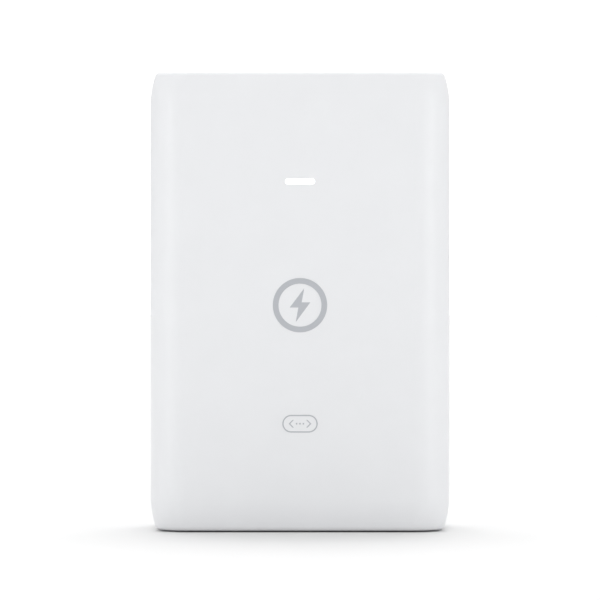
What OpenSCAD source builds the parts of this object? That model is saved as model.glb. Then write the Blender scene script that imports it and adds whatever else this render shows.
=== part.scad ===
// Power-over-Ethernet injector: a mains inlet in the top end, two network jacks in the bottom end,
// a flyback converter board inside a two-part soft-edged case, and a slide-off wall bracket.
// The origin is at the centre of the bottom end. The front face looks along -Y, and +Z is up.

/* [Case] */
// Overall width of the case
body_w = 64; // [62:1:90]
// Overall depth of the case, front face to back face
body_d = 35; // [34:1:50]
// Overall height of the case
body_h = 98.5; // [96:0.5:140]
// Thickness of every case wall
wall = 2; // [1.6:0.1:2.4]
// Radius of the four long upright edges
corner_r = 8; // [6:0.5:10]
// How far each side draws in towards the two ends
side_drop = 1.4; // [0.6:0.1:2]
// Length over which the sides draw in
side_len = 7.5; // [6:0.5:12]
// How far each end face falls away towards its rim
end_drop = 0.6; // [0.2:0.1:1]
// Radius of the rim around each end face
rim_r = 1.2; // [0.5:0.1:1.5]
// Distance from the back face to the seam between the covers
seam_back = 9.5; // [9:0.5:11]
// Depth and width of the shadow line along the seam
seam_line = 0.35; // [0.2:0.05:0.5]
// Height of the tongue that locates the covers
tongue_h = 1.6; // [1:0.1:2.5]

/* [Indicator] */
// Width of the light window
lamp_w = 6.3; // [4:0.1:8]
// Height of the light window
lamp_h = 1.2; // [0.8:0.1:2]
// Distance of the light window below the top end
lamp_down = 23.8; // [23.5:0.1:26]

/* [Printed marks] */
// Outer diameter of the round emblem
emblem_d = 11.6; // [8:0.1:16]
// Line width of the emblem's ring
emblem_line = 1.25; // [0.8:0.05:2]
// Height of the emblem's centre
emblem_z = 48.4; // [40:0.1:60]
// Width of the lozenge
lozenge_w = 7.55; // [6:0.05:10]
// Height of the lozenge
lozenge_h = 3.8; // [3:0.05:5]
// Line width of the lozenge
lozenge_line = 0.3; // [0.2:0.01:0.4]
// Height of the lozenge's centre
lozenge_z = 23.2; // [18:0.1:30]
// Thickness of the ink
ink_t = 0.06; // [0.04:0.01:0.1]

/* [Rating label] */
// Width of the label on the back
label_w = 38; // [30:1:42]
// Height of the label
label_h = 13; // [8:0.5:13]
// Thickness of the label
label_t = 0.15; // [0.1:0.01:0.2]

/* [Board] */
// Thickness of the main board
board_t = 1.6; // [1:0.1:2]
// Gap between the board's edge and the case's inside
board_gap = 1; // [0.6:0.1:1.5]
// Distance of the case screws from the board's side edges
screw_in = 3.5; // [3.2:0.1:5]
// Distance of the case screws from each end of the case
screw_end = 9; // [8.5:0.1:10]

/* [Network jacks] */
// Width of one jack
jack_w = 16; // [15.6:0.1:17]
// Height of one jack above the board
jack_h = 13.4; // [13:0.1:14.5]
// Length of one jack
jack_len = 18; // [15:0.1:20]
// Distance between the two jacks' centres
jack_pitch = 21; // [18:0.5:24]
// How far the jacks' faces lie behind the bottom end
jack_inset = 0.4; // [0.2:0.1:1]
// Angle of the spring contacts to the plug's way in
contact_angle = 16; // [12:1:18]

/* [Mains inlet] */
// Width of the inlet's housing
inlet_w = 27.5; // [27:0.1:29]
// Height of the inlet's housing above the board
inlet_h = 20; // [19.6:0.1:21]
// Length of the inlet's housing
inlet_len = 21; // [20:0.1:21]
// How far the inlet's face lies behind the top end
inlet_inset = 0.5; // [0.2:0.1:1]

/* [Wall bracket] */
// Width of the bracket's plate
plate_w = 40; // [36:1:44]
// Height of the bracket's plate
plate_h = 52; // [46:1:54]
// Thickness of the bracket's plate
plate_t = 1.8; // [1.6:0.1:2]
// How far the case lifts before it comes off the bracket
lift = 5; // [4:0.5:6]
// Distance between the two wall screws
wall_screw_pitch = 30; // [24:1:36]
// Diameter of the wall screws' holes
wall_screw_d = 4.2; // [3.4:0.1:5]

/* [Clearances] */
// Gap between pieces that slide or drop into each other
fit = 0.2; // [0.1:0.05:0.3]
// Gap between a bought-in connector and the opening around it
panel_fit = 0.25; // [0.15:0.05:0.4]

/* [Hidden] */
$fn = 48;
CUT = 1;                            // how far a cutter runs past the face that it opens

// Case planes
front_y = -body_d / 2;
back_y = body_d / 2;
seam_y = back_y - seam_back;
front_in_y = front_y + wall;        // inside of the front wall
root = wall / 2;                    // how deep posts and ribs run into a wall
side_steps = 6;                     // straight pieces in each arc of the case's profile
end_steps = 4;
rim_steps = 5;

// Board: its front face lies on the seam plane
board_y = seam_y;
board_back = board_y + board_t;
board_w = body_w - 2 * wall - 2 * board_gap;
board_h = body_h - 2 * wall - 2 * board_gap;
board_corner = 4;
side = board_w / 2;
mid = body_h / 2;
barrier_z = mid - 2.6;              // line that parts mains from low voltage
barrier_slot = [15, 1.6];
lead_tail = 1.2;                    // how far leads stand out of the board's back
sheet_t = 0.3;
sheet_y = board_back + lead_tail + fit;
sheet_in = 0.8;                     // how far the sheet's edge stays inside the board's

// Screws: [shank radius, length under the head, head radius, head height]
case_screw = [1.5, 15, 2.7, 1.9];
board_screw = [1.25, 5.5, 2.3, 1.6];
sink_screw = [1.25, 4.4, 2.3, 1.5];
screw_tip = 1.5;
drive_w = 0.7;
bite = 0.05;                        // gap between a screw's shank and its hole
screw_x = side - screw_in;
screw_zs = [screw_end, body_h - screw_end];
screw_seat_y = back_y - 3;          // plane that the case screws' heads pull on
board_screw_z = barrier_z - 2.3;
post_r = 3.2;
post_web = 1.4;
board_post_r = 2.8;
post_bore = 12;                     // depth of the holes in the front cover's posts
rib = [1.2, 48, 0.8];               // stiffening ribs inside the front wall
rib_x = screw_x - 6;
ink_gap = 0.03;                     // gap between the ink and the round edges of its pocket

// Wall bracket and its recess in the rear cover
plate_z = mid + 7;
plate_r = 4;
plate_in_y = back_y - plate_t;
recess_y = plate_in_y - fit;        // recess floor, seen from behind
recess_in_y = recess_y - wall;      // the same wall, seen from inside
hook_w = 8;
hook_neck = 2.6;
hook_lip = lift - 0.8;
hook_lip_t = 1.3;
hook_gap = 0.3;
hook_x = plate_w / 2 - 7;
hook_dz = plate_h / 2 - 11;
window_h = hook_neck + lift + 2 * fit + 0.3;
countersink = [0.7, 1.6];           // depth below the plate's inner face, and flare
thumb_r = 6;                        // notch that frees the plate's lower edge
pad_pocket = [6, 20, 0.6];          // pockets for adhesive pads, and their distance apart
pad_x = 13;
label_gap = 2.5;
label_z = plate_z - plate_h / 2 - lift - 2 * fit - label_gap - label_h / 2;
label_r = 1.2;

// Light pipe and indicator board
pipe_flange = [8.6, 3.2, 1];
pipe_stem = [5.6, 2.2, 0.9];
pipe_frame = 1;                     // width and height of the frame around the flange
lamp_z = body_h - lamp_down;
indicator_size = [15, 1, 7.5];
indicator_y = front_in_y + 3.5;     // front face of the small board
indicator_up = 2;                   // how far the small board reaches above the window's centre
peg = [1.4, 0.7, 0.5];              // peg's radius, its tip's radius, and how far the tip sticks out
peg_x = 5.4;
peg_z = lamp_z - 3.5;
led_size = [3.2, 0.8, 1.6];
led_base = 0.3;

// Leads between the indicator board and the main board
lead_r = 0.55;
lead_x = 1.25;
lead_y = front_in_y + 1.9;
lead_bend = [1, 2.4];
lead_start_z = lamp_z - 3.6;
header_size = [7.5, 5.8, 7];
header_wall = 0.8;
header_floor = 1.5;
header_pin = 5;
header_slot = [1, 1.6, 3];          // width, distance from the middle, and height of its foot
plug_size = [header_size[0] - 2 * header_wall - fit, header_size[1] - 2 * header_wall - fit, 10];
plug_grip = 1.5;                    // how deep a lead goes into the plug

// Network jack, with x counted from its own middle
jack_xs = [-jack_pitch / 2, jack_pitch / 2];
jack_y = board_y - jack_h;
jack_top = jack_inset + jack_len;   // rear end of the jacks
stand_off = 0.3;                    // gap under a connector's body
shield_t = 0.25;
shield_tab = [1.2, 11.4];           // width and place of the tabs that go through the board
shield_spring = [2.2, 3, 0.2];      // raised spring fingers on the shield's front
shield_spring_x = 3.6;
housing_z = jack_inset + shield_t + 0.05;
housing_len = jack_len - 2.8;
housing_peg = [0.7, 5.7, 8.5];      // radius, distance from the middle, and place
cavity_w = 11.8;
cavity_h = 6.8;
cavity_depth = housing_len - 1.6;
cavity_y = jack_y + shield_t + 1.3; // front side of the plug's way in
key_w = 6.2;
key_d = 1.6;
latch_w = 3.4;
latch_d = 1.4;
contact_pitch = 1.016;
contact_n = 8;
contact_r = 0.2;
contact_slot = 0.62;
contact_run_y = cavity_y - 0.45;    // line of the fixed wires in their slots
contact_bend_r = 0.4;
contact_bend_z = jack_inset + 2.2;
contact_rows = [jack_top - 1.9, jack_top - 0.8];
spring_y = contact_run_y + 2 * contact_bend_r;
spring_z = contact_bend_z + contact_r + 0.05;
spring_len = 8.4;

// Mains inlet
inlet_z1 = body_h - inlet_inset;
inlet_z0 = inlet_z1 - inlet_len;
inlet_y = board_y - inlet_h / 2;
inlet_r = 1.2;
inlet_cavity = [24.4, 16, 17];
inlet_bevel = 4.4;
inlet_peg = [0.9, 9, 4];            // radius, distance from the middle, and place
blade = [2, 4];
blade_xy = [[-7, 2], [7, 2], [0, -2]];
blade_tip = 2.6;                    // how far the blades' tips lie behind the inlet's face
blade_point = [0.8, 1];             // narrowing of a tip, and its length
blade_tail = [1.2, 1.8];
blade_tail_z = inlet_z0 - 1.5;

// Transformer, with its length up the board
core = [10.4, 21, 9];               // half length, span and thickness
core_back = 2.6;
core_leg = 2.3;
core_centre = 6.4;
core_up = 9.3;                      // height of the core's middle above the board
core_split = 0.05;
tube_gap = 0.2;
tube = [core_centre + 2 * tube_gap, core[2] + 2 * tube_gap];
bobbin = [7.4, 15.8, 16.4];         // half length, span and height of the flanges
bobbin_wall = 0.8;
bobbin_rail = [3.8, 17, 4.4];
winding_in = 0.8;                   // how far the winding stays inside the flanges' edges
winding_r = 2.6;
pin_pitch = 3.4;
pin_out = 1.4;

// Round parts: diameter, height or thickness, and lead pitch
fuse_can = [7.2, 7.6, 5];
bulk_can = [16, 20, 7.5];
output_can = [10, 18, 5];
varistor_disc = [9, 3.6, 5];
thermistor_disc = [7.6, 3.4, 5];
y_disc = [7.6, 3.6, 5];
disc_lift = 1.6;                    // how far a disc's rim stands above the board
disc_edge = 1;
can_foot = 0.3;
can_edge = 0.8;
can_groove = [2, 2.4, 2.8, 0.5];    // groove's start, middle and end, and its depth
can_score = [0.3, 0.2];

// Choke on its base, and drum choke
choke_base_size = [14, 14, 1.6];
choke_pin = 5;
choke_ring = [6, 3.3, 3.4];         // outer radius, inner radius and height
choke_lift = 1.4;
choke_mean = (choke_ring[0] + choke_ring[1]) / 2;
choke_turn = [2.6, 0.32];           // radius of a turn and of its wire
choke_turns = 6;
choke_step = 23;
drum = [10, 12.5, 7.2, 1.8];        // flange diameter, height, waist diameter, flange height
drum_pitch = 5;
drum_turns = 9;

// Box-shaped parts
x_box = [8.4, 17.4, 14];
x_pitch = 15;
bridge_box = [14.6, 3.6, 11];
bridge_lift = 3;
bridge_pitch = 3.8;
bridge_corner = 2.2;
opto_box = [4.6, 6.4, 3.4];
opto_pins = [1.27, 3.85];

// Heat sinks, [run up the board, height, peg distance from the middle], and their power parts
primary_sink = [18, 19, 6];
secondary_sink = [20, 19, 7];
sink_t = 2;
sink_fin = [1.4, 1];
sink_fins = 5;
sink_peg_r = 0.8;
tab_t = 1.3;
tab_h = 6.4;
power_w = 10;
power_body = [4.4, 9.2];            // thickness and height of the moulded body
power_lift = 4;
power_lead = [0.5, 0.8, 2.54];      // thickness, width and pitch
power_lead_x = tab_t + 1.2;
power_hole_r = 1.6;
power_hole_up = power_lift + power_body[1] + 3.2;

// Small outline packages: body, leads on a side, pitch, lead width and reach
pwm_chip = [[4.9, 3.9, 1.5], 4, 1.27, 0.42, 1];
poe_chip = [[6.5, 4.4, 1.1], 10, 0.65, 0.25, 0.9];
magnetics_chip = [[12.7, 7, 5.4], 12, 1, 0.4, 0.9];
chip_resistor = [2, 1.2, 0.6];
chip_capacitor = [1.8, 1.2, 1];

// Middles of the parts on the board, [x, z]: mains side, counted from the inlet's rear end
beside_inlet = inlet_w / 2 + 4.25;
fuse_at = [-beside_inlet, inlet_z0 + 13];
varistor_at = [beside_inlet, inlet_z0 + 13];
thermistor_at = [side - 2.8, inlet_z0 + 1.5];
x_cap_at = [side - 9.5, inlet_z0 - 3];
choke_at = [7.4 - side, inlet_z0 - 0.5];
bridge_at = [6.5, inlet_z0 - 5.1];
pwm_at = [-4, inlet_z0 - 9.4];

// Middle of the board
bulk_at = [9.5 - side, mid + 9];
transformer_at = [2, mid + 2];
primary_sink_at = [side - 4, mid + 9.5];
primary_switch_z = mid + 9;
y_cap_at = [-11.2, barrier_z];
opto_at = [17.8, barrier_z];

// Output side, counted from the jacks' rear ends
magnetics_at = [[-10.8, jack_top + 5.8], [10.8, jack_top + 5.8]];
poe_chip_at = [0, jack_top + 8.1];
header_at = [0, jack_top + 14.6];
output_caps_at = [[5.7 - side, jack_top + 3.1], [5.7 - side, jack_top + 14.6], [-11.5, jack_top + 16.6]];
output_choke_at = [13.5, jack_top + 16.8];
secondary_sink_at = [side - 4, jack_top + 8.6];
output_rectifier_z = jack_top + 10.6;

// Rows of chip parts: [x, z, count, step in x, step in z]
resistor_rows = [
    [-8, inlet_z0 - 13.1, 4, 3, 0], [3.2, inlet_z0 - 11, 4, 2.8, 0], [-3, jack_top + 1.4, 3, 3, 0],
    [6.2, jack_top + 11.6, 2, 0, 2.4], [-21.6, barrier_z - 5, 3, 3, 0], [-3.6, barrier_z - 7.4, 4, 3, 0]
];
capacitor_rows = [
    [3.2, inlet_z0 - 8.4, 4, 2.8, 0], [-2.8, jack_top + 3.3, 3, 2.8, 0], [-5.4, jack_top + 10.8, 2, 0, 2.2],
    [21.9, barrier_z - 5.6, 2, 0, 2.4], [-23.4, barrier_z + 2, 3, 3, 0]
];

// Leads, each as [x, z], and the radii of wires and of the holes around them
wire_r = 0.35;
wire_hole_r = 0.45;
function row_of(at, pitch, n) = [for (i = [0:n - 1]) [at[0] + (i - (n - 1) / 2) * pitch, at[1]]];
function column_of(at, pitch, n) = [for (i = [0:n - 1]) [at[0], at[1] + (i - (n - 1) / 2) * pitch]];
function corners_of(at, dx, dz) = [for (sx = [-1, 1], sz = [-1, 1]) [at[0] + sx * dx, at[1] + sz * dz]];
function contact_x(i) = (i - (contact_n - 1) / 2) * contact_pitch;
fuse_leads = row_of(fuse_at, fuse_can[2], 2);
varistor_leads = column_of(varistor_at, varistor_disc[2], 2);
thermistor_leads = column_of(thermistor_at, thermistor_disc[2], 2);
y_cap_leads = column_of(y_cap_at, y_disc[2], 2);
x_cap_leads = column_of(x_cap_at, x_pitch, 2);
choke_leads = corners_of(choke_at, choke_pin, choke_pin);
bridge_leads = row_of(bridge_at, bridge_pitch, 4);
bulk_leads = row_of(bulk_at, bulk_can[2], 2);
output_cap_leads = [for (at = output_caps_at) each column_of(at, output_can[2], 2)];
drum_leads = row_of(output_choke_at, drum_pitch, 2);
header_leads = row_of(header_at, 2 * lead_x, 2);
opto_leads = corners_of(opto_at, opto_pins[0], opto_pins[1]);
transformer_leads = [for (s = [-1, 1], i = [-2:2])
    [transformer_at[0] + i * pin_pitch, transformer_at[1] + s * (bobbin[0] + pin_out)]];
wire_leads = concat(fuse_leads, varistor_leads, thermistor_leads, y_cap_leads, x_cap_leads, choke_leads,
    bridge_leads, bulk_leads, output_cap_leads, drum_leads, header_leads, opto_leads, transformer_leads);
power_leads = concat(
    column_of([primary_sink_at[0] - power_lead_x, primary_switch_z], power_lead[2], 3),
    column_of([secondary_sink_at[0] - power_lead_x, output_rectifier_z], power_lead[2], 3));
sink_pegs = concat(
    column_of([primary_sink_at[0] + sink_t / 2, primary_sink_at[1]], 2 * primary_sink[2], 2),
    column_of([secondary_sink_at[0] + sink_t / 2, secondary_sink_at[1]], 2 * secondary_sink[2], 2));
contact_tails = [for (x = jack_xs, i = [0:contact_n - 1]) [x + contact_x(i), contact_rows[i % 2]]];
shield_tabs = [for (x = jack_xs, s = [-1, 1])
    [x + s * (jack_w - shield_t) / 2, jack_inset + shield_tab[1] + shield_tab[0] / 2]];
blade_tails = [for (p = blade_xy) [p[0], blade_tail_z]];
case_screws_at = [for (s = [-1, 1], z = screw_zs) [s * screw_x, z]];
board_screws_at = [for (s = [-1, 1]) [s * screw_x, board_screw_z]];

// Round holes in the board, [places, radius]
board_holes = [
    [wire_leads, wire_hole_r], [power_leads, 0.7], [sink_pegs, sink_peg_r + 0.1],
    [contact_tails, contact_r + 0.1], [shield_tabs, 0.9], [blade_tails, 1.25],
    [case_screws_at, case_screw[0] + fit], [board_screws_at, board_screw[0] + fit]
];

// ---------------------------------------------------------------- shapes that repeat

function arc(centre, r, from, to, n) = [
    for (i = [0:n]) let (a = from + (to - from) * i / n) centre + r * [cos(a), sin(a)]];

function rounded(w, h, r, n = 6) = concat(
    arc([w / 2 - r, r - h / 2], r, -90, 0, n), arc([w / 2 - r, h / 2 - r], r, 0, 90, n),
    arc([r - w / 2, h / 2 - r], r, 90, 180, n), arc([r - w / 2, r - h / 2], r, 180, 270, n));

function heading(v) = atan2(v[1], v[0]);
function arc_radius(len, drop) = (len * len + drop * drop) / (2 * drop);

// Where two circles meet, on the left-hand side of the line from the first centre to the second
function circles_meet(c1, r1, c2, r2) =
    let (d = norm(c2 - c1), u = (c2 - c1) / d)
    let (along = (r1 * r1 - r2 * r2 + d * d) / (2 * d))
    c1 + along * u + sqrt(r1 * r1 - along * along) * [-u[1], u[0]];

// Lower half of the case's profile across an upright edge of radius r, from the end face to mid side:
// the end face falls away, a small rim radius turns the corner, and the side fills out over side_len
function end_profile(r, rise) =
    let (end_r = arc_radius(r, end_drop), side_r = arc_radius(rise, side_drop))
    let (end_c = [0, end_r], side_c = [r - side_r, rise])
    let (rim_c = circles_meet(end_c, end_r - rim_r, side_c, side_r - rim_r))
    let (a0 = heading(rim_c - end_c), a1 = heading(rim_c - side_c))
    concat(arc(end_c, end_r, -90, a0, end_steps), arc(rim_c, rim_r, a0, a1, rim_steps),
        arc(side_c, side_r, a1, 0, side_steps));

// A block with rounded upright edges, whose sides draw in and whose ends fall away towards the rims
module soft_block(w, d, h, r, rise) {
    low = end_profile(r, rise);
    n = len(low);
    half = concat(low, [for (i = [n - 1:-1:0]) [low[i][0], h - low[i][1]]]);
    function whole(off) = concat(
        [for (p = half) [p[0] + off, p[1]]], [for (i = [2 * n - 1:-1:0]) [-half[i][0] - off, half[i][1]]]);
    cx = w / 2 - r;
    cy = d / 2 - r;
    rotate([90, 0, 0]) linear_extrude(2 * cy, center = true) polygon(whole(cx));
    rotate([90, 0, 90]) linear_extrude(2 * cx, center = true) polygon(whole(cy));
    for (sx = [-1, 1], sy = [-1, 1])
        translate([sx * cx, sy * cy, 0]) rotate_extrude() polygon(half);
}

// The case's solid form, taken in from its outside by an inset
module case_form(inset = 0) {
    translate([0, 0, inset]) soft_block(body_w - 2 * inset, body_d - 2 * inset, body_h - 2 * inset,
        corner_r - inset, side_len - inset);
}

// Everything between two planes across the depth
module slab(y0, y1) {
    translate([-body_w, y0, -body_h / 2]) cube([2 * body_w, y1 - y0, 2 * body_h]);
}

// Places a part on the board: its own x runs along the board, y up it, and z out from its front face
module on_board(at) {
    translate([at[0], board_y, at[1]]) rotate([90, 0, 0]) children();
}

// A rod along the depth, from one plane to another
module rod(at, r, y0, y1) {
    translate([at[0], y1, at[1]]) rotate([90, 0, 0]) cylinder(r = r, h = y1 - y0);
}

// A box with its middle at x and z, from one plane of the depth to another
module box(at, w, h, y0, y1) {
    translate([at[0] - w / 2, y0, at[1] - h / 2]) cube([w, y1 - y0, h]);
}

// A flat outline drawn in x and z, with its thickness along the depth
module plate(y0, y1) {
    translate([0, y1, 0]) rotate([90, 0, 0]) linear_extrude(y1 - y0) children();
}

// Round leads, from a height above the board down to their tails
module wires(places, up, r = wire_r) {
    for (p = places) rod(p, r, board_y - up, board_back + lead_tail);
}

// A quarter or half bend of a wire about an axis along x, in the plane of y and z
module wire_bend(y, z, bend_r, r, from, turn) {
    translate([0, y, z]) rotate([90, 0, 90]) rotate([0, 0, from])
        rotate_extrude(angle = turn) translate([bend_r, 0]) circle(r = r);
}

module cross_drive(r, depth) {
    for (a = [0, 90])
        rotate([0, 0, a]) translate([-r, -drive_w / 2, -depth]) cube([2 * r, drive_w, depth + CUT]);
}

// A pan-head screw whose head faces +Z, seated at z = 0
module pan_screw(size) {
    r = size[0];
    len = size[1];
    head_r = size[2];
    head_h = size[3];
    head_edge = 0.7;
    difference() {
        union() {
            translate([0, 0, screw_tip - len]) cylinder(r = r, h = len - screw_tip);
            translate([0, 0, -len]) cylinder(r1 = r / 4, r2 = r, h = screw_tip);
            rotate_extrude() polygon(concat([[0, 0], [head_r, 0]],
                arc([head_r - head_edge, head_h - head_edge], head_edge, 0, 90, 4), [[0, head_h]]));
        }
        translate([0, 0, head_h]) cross_drive(head_r * 0.62, head_h * 0.7);
    }
}

// ---------------------------------------------------------------- printed signs

module slot_outline(w, h) {
    square([w - h, h], center = true);
    for (s = [-1, 1]) translate([s * (w - h) / 2, 0]) circle(d = h);
}

// A bolt of lightning, h tall
module bolt_sign(h) {
    k = h / 7.2;
    polygon(k * [[0.9, 3.6], [-2.2, -0.5], [-0.35, -0.5], [-0.9, -3.6], [2.2, 0.6], [0.35, 0.6]]);
}

// Two chevrons and three dots, the plain sign for a network; a gap makes the dots smaller
module network_sign(w, line, gap) {
    arm = 0.17 * w;
    for (s = [-1, 1]) translate([s * w / 2, 0]) polygon([
        [0, 0], [-s * arm, arm], [-s * (arm + line), arm],
        [-s * 1.2 * line, 0], [-s * (arm + line), -arm], [-s * arm, -arm]]);
    for (i = [-1:1]) translate([i * 0.15 * w, 0]) circle(d = 0.085 * w - 2 * gap, $fn = 24);
}

module front_print_outline(gap = 0) {
    emblem_in = emblem_line - gap;
    lozenge_in = lozenge_line - gap;
    translate([0, emblem_z]) {
        difference() {
            circle(d = emblem_d - 2 * gap);
            circle(d = emblem_d - 2 * emblem_in);
        }
        bolt_sign(emblem_d * 0.62);
    }
    translate([0, lozenge_z]) {
        difference() {
            slot_outline(lozenge_w - 2 * gap, lozenge_h - 2 * gap);
            slot_outline(lozenge_w - 2 * lozenge_in, lozenge_h - 2 * lozenge_in);
        }
        network_sign(lozenge_w * 0.64, lozenge_line, gap);
    }
}

// Signs beside the two jacks, drawn in x and y on the bottom end
module port_print_outline(gap = 0) {
    y = (front_y + corner_r + jack_y - panel_fit) / 2;
    translate([jack_xs[0], y]) bolt_sign(3);
    translate([jack_xs[1], y]) network_sign(5, 0.35, gap);
}

module front_print() {
    color("darkgray") plate(front_y, front_y + ink_t) front_print_outline(ink_gap);
}

module port_print() {
    color("darkgray") linear_extrude(ink_t) port_print_outline(ink_gap);
}

// ---------------------------------------------------------------- case

module jack_openings(y0, y1) {
    for (x = jack_xs)
        translate([x - jack_w / 2 - panel_fit, y0, -CUT])
            cube([jack_w + 2 * panel_fit, y1 - y0, wall + board_gap + 2 * CUT]);
}

module inlet_opening(y0, y1) {
    translate([-inlet_w / 2 - panel_fit, y0, body_h - wall - board_gap - CUT])
        cube([inlet_w + 2 * panel_fit, y1 - y0, wall + board_gap + 2 * CUT]);
}

module seam_groove() {
    difference() {
        slab(seam_y - seam_line / 2, seam_y + seam_line / 2);
        case_form(seam_line);
    }
}

module front_posts() {
    intersection() {
        case_form(root);
        for (p = case_screws_at) {
            rod(p, post_r, front_y, board_y);
            box([p[0] + sign(p[0]) * post_r, p[1]], 2 * post_r, post_web, front_y, board_y - 5);
        }
    }
}

module indicator_pegs() {
    for (s = [-1, 1]) {
        rod([s * peg_x, peg_z], peg[0], front_y + root, indicator_y);
        rod([s * peg_x, peg_z], peg[1], front_y + root, indicator_y + indicator_size[1] + peg[2]);
    }
}

module front_cover() {
    color("white") difference() {
        union() {
            difference() {
                case_form();
                case_form(wall);
                slab(seam_y, back_y + CUT);
                intersection() {
                    case_form(wall / 2);
                    slab(seam_y - tongue_h - fit, seam_y + CUT);
                }
                seam_groove();
            }
            front_posts();
            indicator_pegs();
            box([0, lamp_z], pipe_flange[0] + 2 * pipe_frame, pipe_flange[1] + 2 * pipe_frame,
                front_y + root, front_in_y + pipe_frame);
            for (s = [-1, 1]) box([s * rib_x, mid], rib[0], rib[1], front_y + root, front_in_y + rib[2]);
        }
        box([0, lamp_z], pipe_flange[0] + fit, pipe_flange[1] + fit,
            front_in_y, front_in_y + pipe_frame + CUT);
        plate(front_y - CUT, front_in_y + CUT) translate([0, lamp_z]) slot_outline(lamp_w, lamp_h);
        plate(front_y - CUT, front_y + ink_t) front_print_outline();
        translate([0, 0, -CUT]) linear_extrude(CUT + ink_t) port_print_outline();
        for (p = case_screws_at) rod(p, case_screw[0] + bite, board_y - post_bore, board_y + CUT);
        jack_openings(jack_y - panel_fit, board_y + CUT);
        inlet_opening(board_y - inlet_h - panel_fit, board_y + CUT);
    }
}

module rear_tongue() {
    difference() {
        intersection() {
            case_form((wall + fit) / 2);
            slab(seam_y - tongue_h, seam_y + wall);
        }
        case_form(wall);
        jack_openings(seam_y - tongue_h - CUT, seam_y);
        inlet_opening(seam_y - tongue_h - CUT, seam_y);
    }
}

module rear_posts() {
    intersection() {
        case_form(root);
        union() {
            for (p = case_screws_at) rod(p, post_r, board_back, back_y);
            for (p = board_screws_at) rod(p, board_post_r, board_back, back_y);
        }
    }
}

module bracket_recess() {
    plate(recess_y, back_y + CUT) translate([0, plate_z - lift / 2])
        polygon(rounded(plate_w + 2 * fit, plate_h + lift + 2 * fit, plate_r + fit));
}

// Height of the top of a hook's neck, for a hook dz above the plate's middle
function hook_top(dz) = plate_z + dz + hook_neck / 2;

module rear_cover() {
    color("white") difference() {
        union() {
            difference() {
                case_form();
                case_form(wall);
                slab(front_y - CUT, seam_y);
                seam_groove();
            }
            rear_tongue();
            rear_posts();
            box([0, plate_z - lift / 2], plate_w + 2 * wall, plate_h + lift + 2 * wall,
                recess_in_y, back_y - root);
        }
        bracket_recess();
        for (x = [-hook_x, hook_x], dz = [-hook_dz, hook_dz])
            box([x, hook_top(dz) + fit - window_h / 2], hook_w + 2 * fit, window_h,
                recess_in_y - CUT, recess_y + CUT);
        for (p = case_screws_at) {
            rod(p, case_screw[0] + fit, board_back - CUT, back_y);
            rod(p, case_screw[2] + fit, screw_seat_y, back_y + CUT);
        }
        for (p = board_screws_at)
            rod(p, board_screw[0] + bite, board_back - CUT, board_back + board_screw[1] - board_t + fit);
        box([0, label_z], label_w + fit, label_h + fit, back_y - label_t, back_y + CUT);
    }
}

module case_screws() {
    color("silver") for (p = case_screws_at)
        translate([p[0], screw_seat_y, p[1]]) rotate([-90, 0, 0]) pan_screw(case_screw);
}

module rating_label() {
    color("gainsboro") plate(back_y - label_t, back_y)
        translate([0, label_z]) polygon(rounded(label_w, label_h, label_r));
}

module bracket_hooks() {
    lip_y = recess_in_y - hook_gap - hook_lip_t;
    for (x = [-hook_x, hook_x], dz = [-hook_dz, hook_dz]) {
        box([x, hook_top(dz) - hook_neck / 2], hook_w, hook_neck, lip_y, back_y - plate_t / 2);
        box([x, hook_top(dz) + (hook_lip - hook_neck) / 2], hook_w, hook_lip + hook_neck,
            lip_y, lip_y + hook_lip_t);
    }
}

module wall_screw_hole() {
    cylinder(d = wall_screw_d, h = plate_t + 2 * CUT);
    translate([0, 0, CUT + plate_t - countersink[0]]) cylinder(
        d1 = wall_screw_d, d2 = wall_screw_d + 2 * countersink[1], h = countersink[1]);
}

module wall_bracket() {
    color("whitesmoke") difference() {
        union() {
            plate(plate_in_y, back_y) translate([0, plate_z]) polygon(rounded(plate_w, plate_h, plate_r));
            bracket_hooks();
        }
        for (s = [-1, 1])
            translate([0, back_y + CUT, plate_z + s * wall_screw_pitch / 2]) rotate([90, 0, 0])
                wall_screw_hole();
        rod([0, plate_z - plate_h / 2], thumb_r, plate_in_y - CUT, back_y + CUT);
        for (s = [-1, 1]) plate(back_y - pad_pocket[2], back_y + CUT)
            translate([s * pad_x, plate_z]) polygon(rounded(pad_pocket[0], pad_pocket[1], 2));
    }
}

// ---------------------------------------------------------------- indicator

module light_pipe() {
    foot_y = front_in_y + pipe_flange[2];
    color("white") {
        plate(front_y, front_in_y) translate([0, lamp_z]) slot_outline(lamp_w - fit / 2, lamp_h - fit / 2);
        box([0, lamp_z], pipe_flange[0], pipe_flange[1], front_in_y, foot_y);
        box([0, lamp_z], pipe_stem[0], pipe_stem[1], foot_y - pipe_flange[2] / 2, foot_y + pipe_stem[2]);
    }
}

module indicator_board() {
    color("darkgreen") difference() {
        translate([-indicator_size[0] / 2, indicator_y, lamp_z + indicator_up - indicator_size[2]])
            cube(indicator_size);
        for (s = [-1, 1])
            rod([s * peg_x, peg_z], peg[1] + bite,
                indicator_y - CUT, indicator_y + indicator_size[1] + CUT);
    }
}

module status_led() {
    color("lightyellow") {
        box([0, lamp_z], led_size[0], led_size[2], indicator_y - led_base, indicator_y);
        box([0, lamp_z], led_size[0] - 1, led_size[2], indicator_y - led_size[1], indicator_y - led_base);
    }
}

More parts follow.
